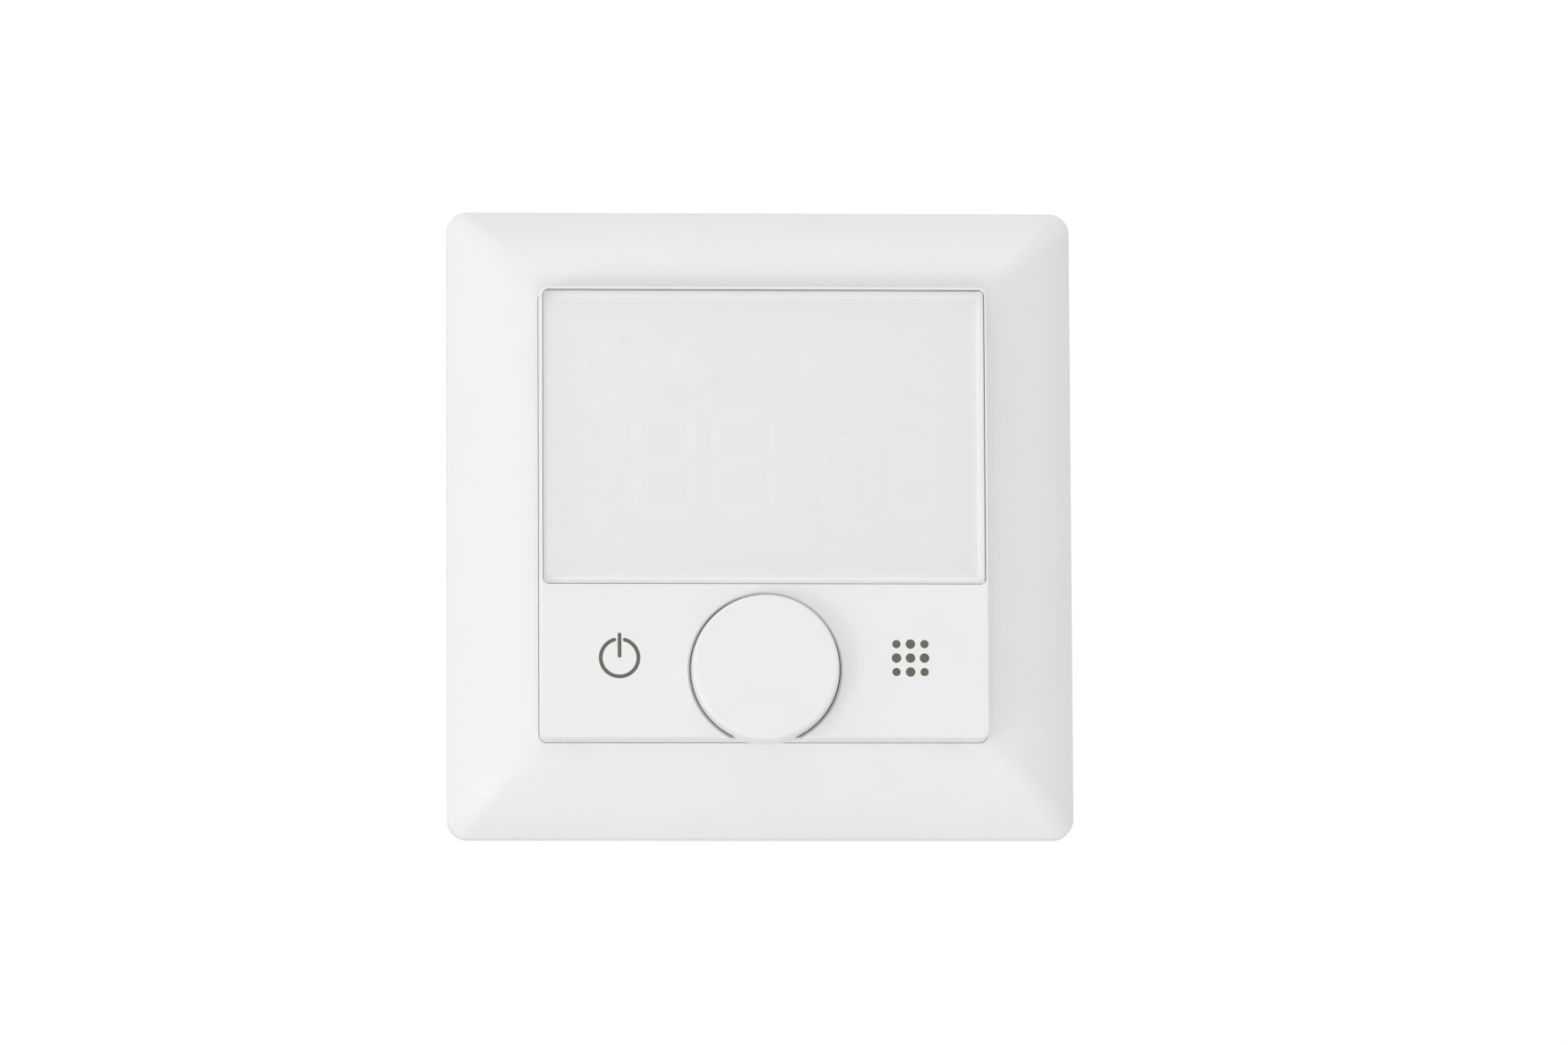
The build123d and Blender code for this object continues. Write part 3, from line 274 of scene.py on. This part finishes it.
def new_piece(name, made, shader):
    """A piece of its own from a finished bmesh."""
    bmesh.ops.recalc_face_normals(made, faces=made.faces)
    mesh = bpy.data.meshes.new(name)
    made.to_mesh(mesh)
    made.free()
    piece = bpy.data.objects.new(name, mesh)
    bpy.context.scene.collection.objects.link(piece)
    return paint(piece, shader)


def close_ring(made, one, other):
    """Faces between two rings of as many corners each."""
    for k in range(len(one)):
        made.faces.new((one[k - 1], one[k], other[k], other[k - 1]))


def frame_piece(name, outer, inner, trim, back, front, shader):
    """A closed frame facing the room: outer and inner are (low, high), their corners cut by trim."""
    made = bmesh.new()
    rings = []
    for y in (back, front):
        for (low, high), cut in zip((outer, inner), trim):
            left, right, bottom, top = low.x, high.x, low.z, high.z
            corners = (
                (left + cut, bottom), (right - cut, bottom), (right, bottom + cut), (right, top - cut),
                (right - cut, top), (left + cut, top), (left, top - cut), (left, bottom + cut),
            )  # fmt: skip
            rings.append([made.verts.new((x, y, z)) for x, z in corners])
    back_outer, back_inner, front_outer, front_inner = rings
    close_ring(made, back_outer, back_inner)
    close_ring(made, front_inner, front_outer)
    close_ring(made, back_inner, front_inner)
    close_ring(made, front_outer, back_outer)
    return new_piece(name, made, shader)


tape_low, tape_high = node_box("display_tape")
tape = frame_piece(
    "tape_frame",
    (tape_low, tape_high),
    node_box("lcd_panel"),
    (TAPE_CORNER_CUT, WINDOW_CORNER_CUT),
    tape_high.y,
    tape_low.y + TAPE_DROP,
    tape_shader,
)
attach(tape, "housing")
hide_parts("display_tape")

# The display: a pale reflective panel with faint drops of optical glue under its surface, painted shade that
# darkens it towards the lower right, and a painted glow along its border.
PANEL_LIT_TONE = (0.832, 0.850, 0.838)
PANEL_SHADED_TONE = (0.786, 0.805, 0.791)
PANEL_SHADE_REACH = 0.05  # from the middle to where the panel is all light or all dark
DROP_COLOUR = (0.62, 0.65, 0.63)
DROP_SPACING = 9.0 * MM
DROP_RADIUS = 0.55 * MM
DROP_SHARE = 0.3
DROP_STRENGTH = 0.3


def panel_tone_with_shade(shader, gain):
    """The panel's grey-green with painted shade, a little darker towards the lower right, times gain."""
    shade_slope = shader.math("SUBTRACT", shader.part("X"), shader.part("Z"))
    light, dark = ([gain * v for v in colour] for colour in (PANEL_LIT_TONE, PANEL_SHADED_TONE))
    return shader.blend(shader.span(shade_slope, -PANEL_SHADE_REACH, PANEL_SHADE_REACH), light, dark)


def panel_gloss(shader):
    return shader.span(shader.noise(2500.0), 0.3, 0.7, 0.34, 0.46)


display = Shader("display_panel")
# The panel's border glows a little: painted light that lifts the shade there.
painted_glow_mask = display.rim("lcd_panel", PAINTED_GLOW_REACH, PAINTED_GLOW_REACH)
drops = display.dots(DROP_SPACING, DROP_RADIUS, DROP_SHARE, soft=0.8)
display.set(
    Emission_Color=(*PAINTED_GLOW_COLOUR, 1.0),
    Emission_Strength=display.math("MULTIPLY", painted_glow_mask, PANEL_PAINTED_GLOW),
    Base_Color=display.blend(
        display.math("MULTIPLY", drops, DROP_STRENGTH), panel_tone_with_shade(display, 1.0), DROP_COLOUR
    ),
    Roughness=panel_gloss(display),
)
display.bump(display.noise(5200.0, detail=1.0), 0.000001, 0.15)
paint("lcd_panel", display)

# ------------------------------------------------------------------ hidden and rear surfaces
grey_case = moulded("grey_case", (0.60, 0.61, 0.61), rough=0.5, depth=0.000012, mottle=0.05)
inner_white = moulded("inner_white", (0.80, 0.80, 0.79), rough=0.5, mottle=0.04)
black_plastic = moulded("black_plastic", (0.035, 0.035, 0.038), rough=0.48, mottle=0.15)
diffuser = moulded("diffuser", (0.86, 0.87, 0.86), rough=0.25)
foam = moulded("conductive_foam", (0.09, 0.09, 0.10), rough=0.9, grain=1600.0, depth=0.00005, mottle=0.3)
steel = metal("bright_steel", (0.62, 0.62, 0.63), rough=0.28)
zinc = metal("zinc_plate", (0.63, 0.64, 0.66), rough=0.36, brushed=(0.15, 1.0, 4.0))
brass = metal("brass", (0.78, 0.60, 0.30), rough=0.30)
ferrite = moulded("ferrite", (0.07, 0.07, 0.075), rough=0.7, depth=0.00002, mottle=0.3)
winding = moulded("winding_tape", (0.72, 0.52, 0.10), rough=0.3, mottle=0.15)
sleeve = moulded("capacitor_sleeve", (0.04, 0.05, 0.14), rough=0.28, mottle=0.1)
varistor = moulded("varistor_coat", (0.08, 0.17, 0.42), rough=0.3, depth=0.00002, mottle=0.12)
fuse = moulded("fuse_ceramic", (0.80, 0.78, 0.72), rough=0.4, mottle=0.06)

board = Shader("circuit_board")
weave = board.cells(1500.0)
board.set(
    Base_Color=board.blend(board.span(weave, 0.1, 0.6), (0.02, 0.16, 0.07), (0.035, 0.22, 0.10)),
    Roughness=board.span(weave, 0.1, 0.6, 0.28, 0.42),
)
board.bump(weave, 0.00001, 0.6)

for shader, names in (
    (grey_case, "power_housing power_lid front_base terminal_block encoder_plunger"),
    (inner_white, "lcd_holder backlight_leds"),
    (diffuser, "backlight_guide backlight_reflector"),
    (black_plastic, "control_chip room_sensor board_plug board_socket encoder_housing relay_case relay_base"),
    (foam, "touch_pads"),
    (steel, "lcd_pins backup_cell encoder_dome knob_clip base_screws plate_screws lid_screws"),
    (steel, "relay_yoke relay_armature terminal_screws"),
    (zinc, "mounting_plate"),
    (brass, "encoder_bushing encoder_shaft relay_contact terminal_clamps"),
    (board, "control_board power_board"),
    (ferrite, "transformer_core"),
    (winding, "transformer_bobbin relay_coil"),
    (sleeve, "bulk_capacitors"),
    (varistor, "varistor"),
    (fuse, "fuse"),
):
    for name in names.split():
        paint(name, shader)

# ------------------------------------------------------------------ display segments
SEGMENT_LIFT = 0.012 * MM
SEGMENT_GAIN = 1.022  # how much paler the unlit segments are than the panel
SEGMENT_GAP = 0.35  # between a figure's segments, as a share of their thickness
segment_y = node_box("lcd_panel")[0].y
cover_low, cover_high = node_box("front_cover")
cover_mid = (cover_low + cover_high) / 2


def flat_piece(name, outlines, shader):
    """Thin plates on the display, each given by its corners (x, z) in mm from the cover's centre."""
    made = bmesh.new()
    for outline in outlines:
        places = [(cover_mid.x + x * MM, cover_mid.z + z * MM) for x, z in outline]
        back, front = (
            [made.verts.new((x, y, z)) for x, z in places] for y in (segment_y, segment_y - SEGMENT_LIFT)
        )
        made.faces.new(back)
        made.faces.new(front)
        close_ring(made, back, front)
    piece = new_piece(name, made, shader)
    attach(piece, "housing")
    return piece


def bar(x0, z0, x1, z1, thick):
    """A segment with pointed ends, from one point to the other."""
    along = Vector((x1 - x0, z1 - z0))
    step = along.normalized() * thick / 2
    side = Vector((-step.y, step.x))
    a, b = Vector((x0, z0)), Vector((x1, z1))
    return [a, a + step + side, b - step + side, b, b - step - side, a + step - side]


def digit(x, z, wide, tall, thick):
    """The seven segments of a figure eight, centred on (x, z)."""
    left, right = x - wide / 2 + thick / 2, x + wide / 2 - thick / 2
    foot, top = z - tall / 2 + thick / 2, z + tall / 2 - thick / 2
    gap = thick * SEGMENT_GAP
    shapes = [bar(left + gap, level, right - gap, level, thick) for level in (foot, z, top)]
    for edge_x in (left, right):
        shapes.append(bar(edge_x, foot + gap, edge_x, z - gap, thick))
        shapes.append(bar(edge_x, z + gap, edge_x, top - gap, thick))
    return shapes


def block(x, z, wide, tall, lean=0.0):
    """A bar centred on (x, z), whose top leans to the right by lean."""
    return [
        (x - (wide + lean) / 2, z - tall / 2), (x + (wide - lean) / 2, z - tall / 2),
        (x + (wide + lean) / 2, z + tall / 2), (x - (wide - lean) / 2, z + tall / 2),
    ]  # fmt: skip


def arc(x, z, radius, thick, start=0.0, turn=360.0, count=20):
    """A ring, or part of one, as short pieces."""
    shapes = []
    inner, outer = radius - thick / 2, radius + thick / 2
    for k in range(count):
        a, b = (math.radians(start + turn * (k + step) / count) for step in (0, 1))
        corners = ((inner, a), (outer, a), (outer, b), (inner, b))
        shapes.append([(x + far * math.cos(angle), z + far * math.sin(angle)) for far, angle in corners])
    return shapes


segment_ink = Shader("unlit_segment")
# The unlit segments carry the panel's painted shade too.
segment_ink.set(Base_Color=panel_tone_with_shade(segment_ink, SEGMENT_GAIN), Roughness=panel_gloss(segment_ink))
segments = []
segments += digit(-21.1, 17.6, 4.4, 8.2, 0.85)
for middle_x in (-12.7, -2.6):
    segments += digit(middle_x, 6.4, 8.3, 13.8, 1.35)
for middle_x in (10.4, 18.9):
    segments += digit(middle_x, 4.7, 6.5, 10.3, 1.1)
segments += [block(4.45, 4.0, 1.3, 1.3), block(4.5, 0.3, 1.3, 1.3)]
# The unit: a degree ring and the bars that make either letter.
segments += arc(15.3, 15.3, 0.95, 0.4)
segments += [block(17.8, 14.4, 0.9, 3.0), block(19.4, 16.2, 2.6, 0.8), block(20.1, 12.2, 2.8, 0.8)]
# Small pictures along the top: a lock, a house, warm air, a person, a sun and a drop.
segments += [block(-15.3, 19.0, 1.6, 1.4), *arc(-15.3, 19.9, 0.6, 0.3, 0.0, 180.0, 8)]
segments += [block(-10.8, 18.9, 2.4, 1.6), [(-12.6, 19.8), (-9.0, 19.8), (-10.8, 21.0)]]
segments += [block(x, 19.7, 0.4, 2.6, 0.9) for x in (-2.4, -1.2, 0.0)]
segments += [*arc(5.4, 20.7, 0.55, 0.5), block(5.4, 18.9, 2.6, 1.5)]
segments += [*arc(12.9, 20.5, 0.7, 0.5), block(12.9, 22.0, 0.3, 0.7), block(12.9, 19.0, 0.3, 0.7)]
segments += [[(16.0, 18.4), (16.3, 18.1), (16.8, 18.1), (17.1, 18.4), (16.55, 20.2)]]
# Small marks at the left of the big figures.
segments += [block(-20.6, 11.6, 1.5, 0.45), block(-19.9, 8.3, 0.5, 3.4), block(-20.2, 5.0, 1.6, 0.45)]
segments += [block(-22.4, 0.6, 0.7, 1.6), block(-20.6, 0.4, 0.7, 1.2)]
# The lower row: weekday marks and a fan, a flame and a clock, as plain shapes.
segments += [block(-22.0, -4.2, 0.5, 2.2, 0.5), block(-18.6, -3.4, 2.0, 0.4), *arc(-18.4, -5.2, 0.7, 0.3)]
segments += [block(-12.2 + 1.5 * k, -4.2, 0.35, 2.4, 0.5) for k in range(4)]
segments += arc(0.4, -4.3, 1.1, 0.4)
segments += [block(4.6 + 1.6 * k, -4.6, 0.9, 0.4) for k in range(4)]
segments += [block(16.6 + 0.9 * k, -4.2, 0.35, 2.2, 0.6) for k in range(3)]
segments += arc(21.2, -4.3, 1.0, 0.4)
flat_piece("display_digits", segments, segment_ink)

# ------------------------------------------------------------------ stage, light and camera
FLOOR_Z = -0.62
FLOOR_REACH = 3.0
BACKDROP_STRENGTH = 1.05
floor_sides = ((-1, -1), (1, -1), (1, 1), (-1, 1))
floor_corners = [(x * FLOOR_REACH, y * FLOOR_REACH, FLOOR_Z) for x, y in floor_sides]
floor_mesh = bpy.data.meshes.new("floor")
floor_mesh.from_pydata(floor_corners, [], [(0, 1, 2, 3)])
floor = bpy.data.objects.new("floor", floor_mesh)
bpy.context.scene.collection.objects.link(floor)
floor_shader = moulded("pale_floor", (0.86, 0.86, 0.85), rough=0.7, grain=300.0, mottle=0.03)
paint(floor, floor_shader)

scene = bpy.context.scene
scene.view_settings.view_transform = "Standard"
scene.view_settings.look = "None"
SKY = (
    # the way the light comes from (all round where it is zero), its strength
    ((0.0, 0.0, 0.0), 0.64),
    ((-1.0, 0.0, 0.0), 0.27),
    ((0.0, 0.0, 1.0), 0.20),
    ((1.0, 0.0, 0.0), 0.03),
)


def studio_sky(lobes):
    """Soft light from all round, a little stronger from some sides, behind a white backdrop."""
    world = bpy.data.worlds.new("studio")
    world.use_nodes = True
    nodes, links = world.node_tree.nodes, world.node_tree.links
    towards = nodes.new("ShaderNodeTexCoord").outputs["Generated"]
    total = None
    for way, strength in lobes:
        dot = nodes.new("ShaderNodeVectorMath")
        dot.operation = "DOT_PRODUCT"
        links.new(towards, dot.inputs[0])
        dot.inputs[1].default_value = way
        lobe = nodes.new("ShaderNodeMath")
        lobe.operation = "MAXIMUM"
        links.new(dot.outputs["Value"], lobe.inputs[0])
        lobe.inputs[1].default_value = 0.0 if any(way) else 1.0
        share = nodes.new("ShaderNodeMath")
        share.operation = "MULTIPLY_ADD"
        links.new(lobe.outputs[0], share.inputs[0])
        share.inputs[1].default_value = strength
        share.inputs[2].default_value = 0.0
        if total:
            links.new(total, share.inputs[2])
        total = share.outputs[0]
    sky = nodes["Background"]
    sky.inputs["Color"].default_value = (1.0, 1.0, 1.0, 1.0)
    links.new(total, sky.inputs["Strength"])
    backdrop = nodes.new("ShaderNodeBackground")
    backdrop.inputs["Color"].default_value = (1.0, 1.0, 1.0, 1.0)
    backdrop.inputs["Strength"].default_value = BACKDROP_STRENGTH
    mix = nodes.new("ShaderNodeMixShader")
    path = nodes.new("ShaderNodeLightPath")
    links.new(path.outputs["Is Camera Ray"], mix.inputs["Fac"])
    links.new(sky.outputs["Background"], mix.inputs[1])
    links.new(backdrop.outputs["Background"], mix.inputs[2])
    links.new(mix.outputs["Shader"], nodes["World Output"].inputs["Surface"])
    return world


scene.world = studio_sky(SKY)


def soft_light(name, place, size, power, colour):
    """A round area lamp that points at the object."""
    lamp = bpy.data.lights.new(name, "AREA")
    lamp.shape = "DISK"
    lamp.size = size
    lamp.energy = power
    lamp.color = colour
    holder = bpy.data.objects.new(name, lamp)
    holder.location = place
    holder.rotation_euler = (-Vector(place)).to_track_quat("-Z", "Y").to_euler()
    scene.collection.objects.link(holder)


LAMPS = (
    # name, place, size, power, colour
    ("low_front", (0.0, -1.3, -0.4), 0.4, 1.8, (1.0, 0.975, 0.87)),
    ("low_left", (-0.8, -0.8, -0.45), 0.5, 2.5, (0.83, 0.85, 1.0)),
    ("top_front", (0.0, -0.9, 1.2), 0.7, 1.9, (0.86, 0.86, 1.0)),
)
for lamp_name, place, size, power, colour in LAMPS:
    soft_light(lamp_name, place, size, power, colour)

camera = bpy.data.objects.new("camera", bpy.data.cameras.new("camera"))
scene.collection.objects.link(camera)
scene.camera = camera
azimuth, elevation = math.radians(VIEW_AZIMUTH), math.radians(VIEW_ELEVATION)
back = Vector((
    math.sin(azimuth) * math.cos(elevation),
    -math.cos(azimuth) * math.cos(elevation),
    math.sin(elevation),
))  # fmt: skip
aim = Vector(AIM_MM) * MM
camera.location = aim + back * VIEW_DISTANCE
roll = Quaternion((0, 0, 1), math.radians(VIEW_ROLL))
camera.rotation_euler = ((-back).to_track_quat("-Z", "Y") @ roll).to_euler()
camera.data.sensor_width = SENSOR_MM
camera.data.lens = SENSOR_MM * PIXELS_PER_MM * VIEW_DISTANCE / MM / IMAGE_WIDTH
camera.data.clip_start = 0.01
